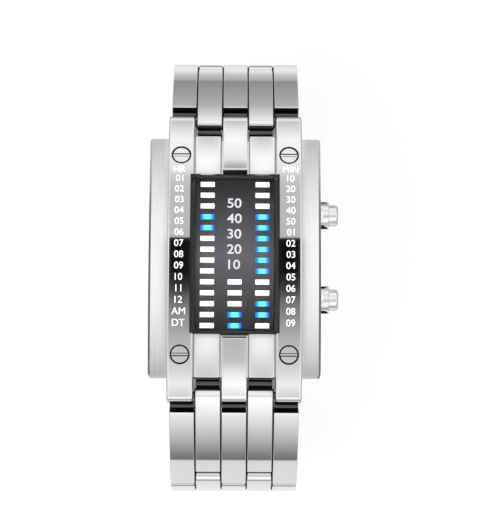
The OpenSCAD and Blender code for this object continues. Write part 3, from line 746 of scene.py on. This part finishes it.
def makeScrews():
    look = screwLook
    x = look["x"]
    top = watch["archRadius"] - look["drop"]
    nearTop = (top - look["topBand"]) * mm
    head = rod("screw", look["radius"], (x, 0, top - look["height"]), (x, 0, top), look["sides"])
    edit(head)
    drawStem(head, lambda f: f.normal.z < -facing, look["radius"] - look["shank"], (0, 0, -look["bite"]))
    bevelSharp(head, look["rim"], look["rimSteps"], lambda e: min(v.co.z for v in e.verts) > nearTop)
    leaveEdit()
    cut(head, [block("slot", (x - look["slotReach"], -look["slot"] / 2, top - look["slotDepth"]),
                     (x + look["slotReach"], look["slot"] / 2, top + look["above"]))])
    edit(head)
    bevelSharp(head, look["slotEdge"], look["slotEdgeSteps"], lambda e: min(v.co.z for v in e.verts) > nearTop
               and abs(middle(e).y) < look["slot"] * mm, degrees=50)
    floorZ = (top - look["slotDepth"]) * mm
    inner = (look["slot"] / 2 - look["slotCorner"]) * mm
    for y in (-inner, inner):
        pick(head, "FACE", lambda f: f.normal.z > square and abs(middle(f).z - floorZ) < near)
        bpy.ops.mesh.bisect(plane_co=(0, y, 0), plane_no=(0, 1, 0))
    leaveEdit()
    smooth(head)
    dress(head, *steelAndShade)
    second(head, lambda f: inner < abs(f.center.y) < look["slot"] * mm
           and floorZ - near < f.center.z < (top - look["shadeFrom"]) * mm)  # painted shade on the slot's walls and corners
    screws = []
    for side in (-1, 1):
        for back in (0, 180):
            screws.append(copyOf(head, "screw", turn("Z", back) @ radial(side * screwAngle)))
    bpy.data.objects.remove(head)
    carry(joined(screws, "railScrews"), "case", ["rail_screws"])
    print("rail screws made")


# Case and clasp
caseLook = {"edge": 0.08, "edgeSteps": 2, "window": 0.1, "windowFrom": 3.5}
sheetLook = {"edgeSteps": 3, "edges": {"case_back": 0.12, "clasp_cover": 0.2, "clasp_end_blade": 0.12,
                                       "clasp_mid_blade": 0.12}}


def makeCase():
    look = caseLook
    case = dress(softened("case_body", look["edge"], look["edgeSteps"]), "brushedSteel", "blackRubber")
    halfX, halfY = (lensHigh.x + look["window"]) * mm, (lensHigh.y + look["window"]) * mm
    second(case, lambda f: abs(f.center.x) < halfX and abs(f.center.y) < halfY
           and f.center.z > look["windowFrom"] * mm)  # the window's walls are dark
    carry(case, "case", ["case_body"])
    for node, edge in sheetLook["edges"].items():
        sheet = dress(softened(node, edge, sheetLook["edgeSteps"]), "brushedSteel")
        carry(sheet, node if node.startswith("clasp") else "case", [node])
    print("case and clasp made")


# Buttons, their collars and springs
buttonLook = {"y": sum(v.y for v in boxOf("upper_button")) / 2, "z": 3.3, "sides": 72, "slack": 0.02,
              "cap": 2.0, "from": 17.05, "to": 19.25, "crown": 0.55, "crownSteps": 6, "ring": 0.25,
              "groove": 0.06, "grooveDepth": 0.05, "backEdge": 0.05, "backSteps": 2, "stem": 0.8,
              "stemEnd": 10.4}
collarLook = {"radius": 2.535, "wall": 16.0, "end": 17.55, "endEdge": 0.2, "endSteps": 3, "wallEdge": 0.06,
              "wallSteps": 2, "tube": 1.9, "tubeEnd": 11.4,
              "bores": ((2.05, 16.2), (1.45, 13.2), (0.85, 10.0))}
springLook = {"from": 13.2, "travel": 0.8, "edge": 0.01, "edgeSteps": 1}
toLower = shift(0, -2 * buttonLook["y"], 0)


def buttonRod(name, radius, start, end):
    look = buttonLook
    return rod(name, radius, (start, look["y"], look["z"]), (end, look["y"], look["z"]), look["sides"])


def buttonCap():
    look = buttonLook
    outer, inner = (look["to"] - look["slack"]) * mm, (look["from"] + look["slack"]) * mm
    cap = buttonRod("upperButton", look["cap"], look["from"], look["to"])
    edit(cap)
    drawStem(cap, lambda f: f.normal.x < -facing, look["cap"] - look["stem"],
             (look["stemEnd"] - look["from"], 0, 0))
    bevelSharp(cap, look["crown"], look["crownSteps"], lambda e: min(v.co.x for v in e.verts) > outer)
    pick(cap, "FACE", lambda f: f.normal.x > square and len(f.verts) == look["sides"])
    bpy.ops.mesh.inset(thickness=look["ring"] * mm)
    bpy.ops.mesh.inset(thickness=look["groove"] * mm, depth=-look["grooveDepth"] * mm)
    bevelSharp(cap, look["backEdge"], look["backSteps"], lambda e: max(v.co.x for v in e.verts) < inner)
    leaveEdit()
    smooth(cap)
    return dress(cap, "satinSteel")


def buttonCollar():
    look = collarLook
    slack = buttonLook["slack"]
    wall, end = look["wall"] * mm, (look["end"] - slack) * mm
    collar = buttonRod("collar", look["radius"], look["wall"], look["end"])
    edit(collar)
    drawStem(collar, lambda f: f.normal.x < -facing, look["radius"] - look["tube"],
             (look["tubeEnd"] - look["wall"], 0, 0))
    bevelSharp(collar, look["endEdge"], look["endSteps"], lambda e: min(v.co.x for v in e.verts) > end)
    bevelSharp(collar, look["wallEdge"], look["wallSteps"],
               lambda e: wall - near < middle(e).x < wall + slack * mm)
    leaveEdit()
    for radius, floor in look["bores"]:
        cut(collar, [buttonRod("bore", radius, floor, buttonLook["to"])])
    smooth(collar)
    return dress(collar, "polishedSteel")


def makeButtons():
    cap, collar = buttonCap(), buttonCollar()
    carry(copyOf(cap, "lowerButton", toLower), "lower_button", ["lower_button"])
    carry(cap, "upper_button", ["upper_button"])
    collars = joined([collar, copyOf(collar, "collar", toLower)], "buttonTubes")
    carry(collars, "case", ["button_tubes"])
    print("buttons and collars made")


def makeSprings():
    # the buttons' return springs
    look = springLook
    for side in ("upper", "lower"):
        node = f"{side}_button_spring"
        spring = softened(node, look["edge"], look["edgeSteps"])
        finishWith(spring, "SUBSURF", levels=1, render_levels=1)
        carry(dress(spring, "pinSteel"), "case", [node])
        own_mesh(spring)
    print("springs made")


# Display; a column's lit rows are listed by their numbers, counted down from 0
lensThick = 1.4
lensAngle = math.degrees(math.asin(lensHigh.y / (lensHigh.z - archZ)))
lensBar = dict(barBase, centre=(0, archZ), radius=lensHigh.z - archZ - lensThick / 2, thick=lensThick,
               sides=(lensLow.x, lensHigh.x), angles=(-lensAngle, lensAngle), round=(False, False), steps=96,
               corner=0.8, cornerSteps=5, edge=0.14, edgeSteps=3, endEdge=0.14)
lightBars = {"rows": 14, "pitch": 2.04, "width": 2.59, "height": 0.92, "low": 5.2, "top": 5.85, "edge": 0.04,
             "edgeSteps": 3,
             "columns": {"hour": {"x": -lightLook["column"], "first": 0, "lit": (3, 4)},
                         "centre": {"x": 0.0, "first": 9, "lit": (12, 13)},
                         "minute": {"x": lightLook["column"], "first": 0, "lit": (3, 4, 5, 6, 7, 8, 11, 12)}}}


def makeDisplay():
    lens = archedBar("displayLens", lensBar)
    smooth(lens, degrees=40)
    carry(dress(lens, "smokedGlass"), "case", ["display_lens"])
    look = lightBars
    pattern = block("lightBar", (-look["width"] / 2, -look["height"] / 2, look["low"]),
                    (look["width"] / 2, look["height"] / 2, look["top"]))
    edit(pattern)
    bevelSharp(pattern, look["edge"], look["edgeSteps"])
    leaveEdit()
    smooth(pattern)
    for name, column in look["columns"].items():
        bars = []
        for row in range(column["first"], look["rows"]):
            place = shift(column["x"], ((look["rows"] - 1) / 2 - row) * look["pitch"], 0)
            bar = copyOf(pattern, "lightBar", place)
            bars.append(dress(bar, "lightOn" if row in column["lit"] else "lightOff"))
        node = f"{name}_light_bars"
        carry(joined(bars, camel(node)), "case", [node])
    bpy.data.objects.remove(pattern)
    print("display made")


# Numerals and labels, as thin print
printLook = {"depth": 0.012, "lift": 0.012, "curve": 6, "bold": 0.005, "railX": 10.33, "railTop": 14.1,
             "railPitch": 2.09, "railSize": 1.28, "railWiden": 0.98, "headY": 15.93, "headSize": 1.3,
             "headWiden": 0.9, "dialX": -0.1, "dialTop": 9.73, "dialPitch": 2.89, "dialZ": 5.8,
             "dialSize": 1.8, "dialWiden": 1.12, "dialBold": 0.012,
             "hours": [f"{n:02d}" for n in range(1, 13)] + ["AM", "DT"],
             "minutes": [f"{n}" for n in range(10, 60, 10)] + [f"{n:02d}" for n in range(1, 10)],
             "tens": [f"{n}" for n in range(50, 0, -10)]}


def word(body, height, widen, bold):
    # text made a mesh, lying on z = 0 with its middle at the origin
    clearSelection()
    bpy.ops.object.text_add()
    letters = bpy.context.object
    letters.data.body = body
    letters.data.align_x, letters.data.align_y = "CENTER", "CENTER"
    letters.data.offset = 0 if "M" in body else bold  # an offset fills the letter M wrongly
    letters.data.extrude = printLook["depth"] / height
    letters.data.resolution_u = printLook["curve"]
    bpy.ops.object.convert(target="MESH")
    piece = bpy.context.object
    tall = max(v.co.y for v in piece.data.vertices) - min(v.co.y for v in piece.data.vertices)
    size = height / tall * mm
    piece.scale = (size * widen, size, size)
    settle(piece)
    edit(piece)
    bpy.ops.mesh.select_all(action="SELECT")
    bpy.ops.mesh.remove_doubles(threshold=near / 10)
    leaveEdit()
    centre = sum((Vector(corner) for corner in piece.bound_box), Vector()) / len(piece.bound_box)
    return settle(piece, Matrix.Translation(-centre))


def makePrint():
    look = printLook
    for name, side, head, rows in (("hourLabels", -1, "HR", look["hours"]),
                                   ("minuteLabels", 1, "MIN", look["minutes"])):
        words = []
        spots = [(head, look["headY"])]
        spots += [(text, look["railTop"] - n * look["railPitch"]) for n, text in enumerate(rows)]
        for text, y in spots:
            angle = math.degrees(math.asin(y / watch["archRadius"]))
            kind = "head" if text == head else "rail"
            piece = word(text, look[kind + "Size"], look[kind + "Widen"], look["bold"])
            lifted = shift(side * look["railX"], 0, watch["archRadius"] + look["lift"])
            words.append(settle(piece, radial(angle) @ lifted))
        carry(dress(joined(words, name), "whitePrint"), "case")
    words = []
    for n, text in enumerate(look["tens"]):
        piece = word(text, look["dialSize"], look["dialWiden"], look["dialBold"])
        words.append(settle(piece, shift(look["dialX"], look["dialTop"] - n * look["dialPitch"],
                                         look["dialZ"] + look["lift"])))
    carry(dress(joined(words, "dialNumerals"), "greyPrint"), "case")
    print("print made")


makeBracelet()
makeRails()
makeLugs()
makePlates()
makeScrews()
makeCase()
makeButtons()
makeSprings()
makeDisplay()
makePrint()

# CAD nodes that stay take the finish that is named like their record slot, with these exceptions
# the diffuser takes the unlit bars' painted glow
slotFinish = {"light_diffuser": "lightOff"}
for subpart in frame["record"]["subparts"]:
    node, slot = subpart["node"], subpart["material_slot"]
    name = slotFinish.get(slot, camel(slot))
    # the dial's mask takes the painted highlight
    if node == "dial_mask":
        name = "dialPrint"
    # the link pins take dark steel, painted shade
    elif "_link_" in node and node.endswith("_pins"):
        name = "hingePin"
    dress(nodes[node], name)


# Camera and studio, in mm and degrees
camera = {"elevation": 79.75, "distance": 400.0, "lens": 153.0, "sensor": 36.0, "shift": 0.0172,
          "targetZ": 6.7, "roll": 0.3, "clip": (10, 20000)}


def cameraPlace():
    rise = math.radians(camera["elevation"])
    back, up = (f(rise) * camera["distance"] for f in (math.cos, math.sin))
    return Vector((0, -back, camera["targetZ"] + up))


def makeCamera():
    look = camera
    view = bpy.data.cameras.new("camera")
    view.lens = look["lens"]
    view.sensor_width = look["sensor"]
    view.shift_x = look["shift"]
    view.clip_start, view.clip_end = (reach * mm for reach in look["clip"])
    holder = bpy.data.objects.new("camera", view)
    bpy.context.scene.collection.objects.link(holder)
    holder.location = cameraPlace() * mm
    holder.rotation_euler = (turn("X", 90 - look["elevation"]) @ turn("Z", look["roll"])).to_euler()
    bpy.context.scene.camera = holder


floorGap = 0.04
studio = {"floorZ": cadLow.z / mm - floorGap, "floorSize": 6000.0, "floorSide": 60.0, "sideLevel": 0.6,
          "paper": (0.83, 0.88), "paperGrain": 900, "paperDetail": 3.0, "white": 0.86, "world": 0.75,
          "tentRadius": 800.0, "tentLength": 1200.0, "tentSides": 180, "strength": 1.16}
# The floor's levels go by Y, the tent's by the angle from overhead, those of its ends by height
# painted shade: the floor's reflected level drops to 0.5 under the watch, where its shadow would fall
floorLevels = ((-1000, 0.26), (-430, 0.15), (-378, 0.14), (-375, 0.68), (-60, 0.72), (-42, 0.8), (-36, 0.5),
               (65, 0.5), (75, 0.75), (90, 0.83), (106, 0.58), (121, 0.47), (141, 0.41), (143, 0.24),
               (165, 0.28), (294, 0.33), (1000, 0.37))
tentLevels = ((-94, 0.17), (-57, 1.0), (-37, 0.95), (-19, 0.5), (10, 0.9), (38, 0.7), (50, 0.93), (74, 0.76),
              (86, 0.42), (94, 0.36))
sideLevels = ((-50, 0.1), (50, 0.1), (140, 0.7), (800, 0.85))


def glossyOnly(piece):
    piece.visible_camera = False
    piece.visible_diffuse = False
    piece.visible_transmission = False
    piece.visible_shadow = False


def stageFinish(name):
    # a finish that gives light to what reflects it, and none to the rest
    finish, flow = finishTree(name)
    finish.cycles.emission_sampling = "NONE"
    return finish, flow


def glowAs(flow, grey, strength=studio["strength"]):
    showAs(flow, flow.node("ShaderNodeEmission", inputs={"Color": grey, "Strength": strength}))


def rayFlags(flow):
    # 1 for the rays that show the background, and 1 for reflections alone
    path = flow.node("ShaderNodeLightPath")
    rays = [Flow(flow.tree, path.socket.node.outputs[name])
            for name in ("Is Camera Ray", "Is Glossy Ray", "Is Transmission Ray")]
    return flow.sum("MAXIMUM", flow.sum("MAXIMUM", rays[0], rays[1]), rays[2]), rays[1]


def levelRamp(flow, value, levels):
    # a grey that follows a list of places and levels
    low, high = levels[0][0], levels[-1][0]
    stops = [((place - low) / (high - low), level) for place, level in levels]
    return flow.node("ShaderNodeValToRGB", {"stops": stops}, {0: (value - low) / (high - low)})


def makeFloor():
    clearSelection()
    bpy.ops.mesh.primitive_plane_add(size=studio["floorSize"] * mm, location=(0, 0, studio["floorZ"] * mm))
    floor = settle(bpy.context.object)
    floor.name = "floor"
    finish, flow = stageFinish("floorPaper")
    place = flow.place()
    seen, glossy = rayFlags(flow)
    grain = place.noise(studio["paperGrain"], studio["paperDetail"])
    x, y = flow.sum("ABSOLUTE", place.axis("X") / mm), place.axis("Y") / mm
    inLine = flow.sum("LESS_THAN", x, studio["floorSide"])
    level = inLine * levelRamp(flow, y, floorLevels) * studio["strength"] + (1 - inLine) * studio["sideLevel"]
    shown = glossy * level + (1 - glossy)
    paper = flow.node("ShaderNodeBsdfDiffuse", inputs={
        "Color": grain.colours(*((grey, grey, grey) for grey in studio["paper"]))})
    white = flow.node("ShaderNodeEmission", inputs={"Color": shown, "Strength": 1.0})
    share = seen * (studio["white"] + glossy * (1 - studio["white"]))
    sheet = flow.node("ShaderNodeMixShader", inputs={0: share, 1: paper, 2: white})
    below = flow.node("ShaderNodeNewGeometry", output="Backfacing")  # clear from below
    clear = flow.node("ShaderNodeBsdfTransparent")
    showAs(flow, flow.node("ShaderNodeMixShader", inputs={0: below, 1: sheet, 2: clear}))
    floor.data.materials.append(finish)


def makeTent():
    clearSelection()
    bpy.ops.mesh.primitive_cylinder_add(vertices=studio["tentSides"], radius=studio["tentRadius"] * mm,
                                        depth=studio["tentLength"] * mm, rotation=(0, math.radians(90), 0))
    tent = settle(bpy.context.object)
    tent.name = "lightTent"
    edit(tent)
    bpy.ops.mesh.select_all(action="SELECT")
    bpy.ops.mesh.bisect(plane_co=(0, 0, studio["floorZ"] * mm), plane_no=(0, 0, 1), clear_inner=True)
    leaveEdit()
    cloth, flow = stageFinish("tentCloth")
    place = flow.place()
    angle = flow.sum("ARCTAN2", place.axis("Y"), place.axis("Z")) * math.degrees(1)
    glowAs(flow, levelRamp(flow, angle, tentLevels))
    tent.data.materials.append(cloth)
    side, flow = stageFinish("tentSide")
    glowAs(flow, levelRamp(flow, flow.place().axis("Z") / mm, sideLevels))
    tent.data.materials.append(side)
    second(tent, lambda f: abs(f.normal.x) > facing)
    glossyOnly(tent)


# Cards overhead, one for each steel surface of the top: where it lies on the watch, the arch that
# it lies on, and the level that it shows at places along the watch
cardZ = 40.0
cardSteps = 14
cards = {
    "flange": {"x": (12.55, 16.1), "radius": 95.0, "top": 6.7,
               "levels": ((-22.4, 0.35), (-20, 0.6), (-17, 0.76), (-10, 0.97), (-4, 1.0), (5, 0.97),
                          (14, 0.78), (20, 0.55), (22.4, 0.35))},
    "rail": {"x": (7.58, 12.55), "radius": 64.0, "top": 9.5,
             "levels": ((-26.5, 0.6), (-24, 0.85), (-21, 0.64), (-16, 0.44), (-12, 0.26), (-9, 0.14),
                        (-7, 0.04), (-4, 0.004), (2.5, 0.002), (2.7, 0.48), (12, 0.5), (14.5, 0.58),
                        (16, 0.78), (22, 0.92), (26, 0.5))},
    "plateNear": {"x": (2.45, 7.58), "radius": 63.6, "top": 9.1,
                  "levels": ((-23, 0.5), (-20, 0.72), (-18, 0.89), (-15.4, 0.94))},
    "plateFar": {"x": (2.45, 7.58), "radius": 63.6, "top": 9.1,
                 "levels": ((15.4, 0.97), (18, 1.0), (20, 0.83), (23, 0.4))},
    "lugNear": {"x": (-2.45, 2.45), "radius": 64.0, "top": 9.5,
                "levels": ((-26.5, 0.7), (-24, 1.0), (-22, 0.82), (-20, 0.53), (-15.6, 0.46))},
    "lugFar": {"x": (-2.45, 2.45), "radius": 64.0, "top": 9.5,
               "levels": ((15.6, 0.35), (16.5, 0.4), (18, 0.8), (22, 0.97), (24, 0.82), (26.5, 0.43))},
}


def mirrored(x, y, card):
    # where the camera sees a point of the watch reflect the cards' height
    eye = cameraPlace().yz
    middleZ = card["top"] - card["radius"]
    out = Vector((y, math.sqrt(card["radius"] ** 2 - y ** 2))) / card["radius"]
    point = Vector((0, middleZ)) + out * card["radius"]
    sight = point - eye
    ray = sight - 2 * sight.dot(out) * out
    reach = (cardZ - point.y) / ray.y
    return x * (1 + reach), point.x + ray.x * reach


def makeCards():
    for name, card in cards.items():
        levels = [(mirrored(0, y, card)[1], level) for y, level in card["levels"]]
        finish, flow = stageFinish(name + "Card")
        glowAs(flow, levelRamp(flow, flow.place().axis("Y") / mm, levels))
        x0, x1 = card["x"]
        y0, y1 = card["levels"][0][0], card["levels"][-1][0]
        for side in ((1,) if x0 < 0 else (-1, 1)):
            clearSelection()
            bpy.ops.mesh.primitive_grid_add(x_subdivisions=1, y_subdivisions=cardSteps, size=1)
            sheet = bpy.context.object
            sheet.name = name + ("Card" if x0 < 0 else "CardLeft" if side < 0 else "CardRight")
            for v in sheet.data.vertices:
                x = side * (x0 + (v.co.x + 0.5) * (x1 - x0))
                y = y0 + (v.co.y + 0.5) * (y1 - y0)
                v.co = Vector((*mirrored(x, y, card), cardZ)) * mm
            sheet.data.materials.append(finish)
            glossyOnly(sheet)


collarCard = {"x": (16.2, 18.05), "y": 34.0, "z": -6.0, "level": 0.03, "grain": 400}


def makeCollarCard():
    # a dark strip below the buttons, for the edges of their collars
    look = collarCard
    clearSelection()
    bpy.ops.mesh.primitive_plane_add(size=1, location=(sum(look["x"]) / 2 * mm, 0, look["z"] * mm))
    strip = bpy.context.object
    strip.name = "collarCard"
    strip.scale = ((look["x"][1] - look["x"][0]) * mm, 2 * look["y"] * mm, 1)
    finish, flow = stageFinish("collarCard")
    grain = flow.node("ShaderNodeTexNoise", inputs={"Scale": look["grain"]})
    glowAs(flow, grain * look["level"], 1.0)
    settle(strip).data.materials.append(finish)
    glossyOnly(strip)


lamps = {"keyLamp": {"place": (-350, -300, 600), "size": 500, "watts": 5.0},
         "fillLamp": {"place": (400, 250, 550), "size": 600, "watts": 2.5}}


def makeLight():
    world = bpy.data.worlds.new("studio")
    bpy.context.scene.world = world
    world.use_nodes = True
    world.cycles_visibility.glossy = False  # the tent and the floor stand all round
    world.node_tree.nodes.clear()
    flow = Flow(world.node_tree)
    seen = rayFlags(flow)[0]
    plain, white = (flow.node("ShaderNodeBackground", inputs={"Color": (1, 1, 1, 1), "Strength": strength})
                    for strength in (studio["world"], 1.0))
    sky = flow.node("ShaderNodeMixShader", inputs={0: seen, 1: plain, 2: white})
    flow.node("ShaderNodeOutputWorld", inputs={"Surface": sky})
    for name, look in lamps.items():
        lamp = bpy.data.lights.new(name, "AREA")
        lamp.size, lamp.energy = look["size"] * mm, look["watts"]
        holder = bpy.data.objects.new(name, lamp)
        bpy.context.scene.collection.objects.link(holder)
        holder.location = Vector(look["place"]) * mm
        holder.rotation_euler = (-Vector(look["place"])).to_track_quat("-Z", "Y").to_euler()
        holder.visible_glossy = False


makeFloor()
makeTent()
makeCards()
makeCollarCard()
makeLight()
makeCamera()
bpy.context.scene.view_settings.view_transform = "Standard"
clearSelection()
print("studio ready")
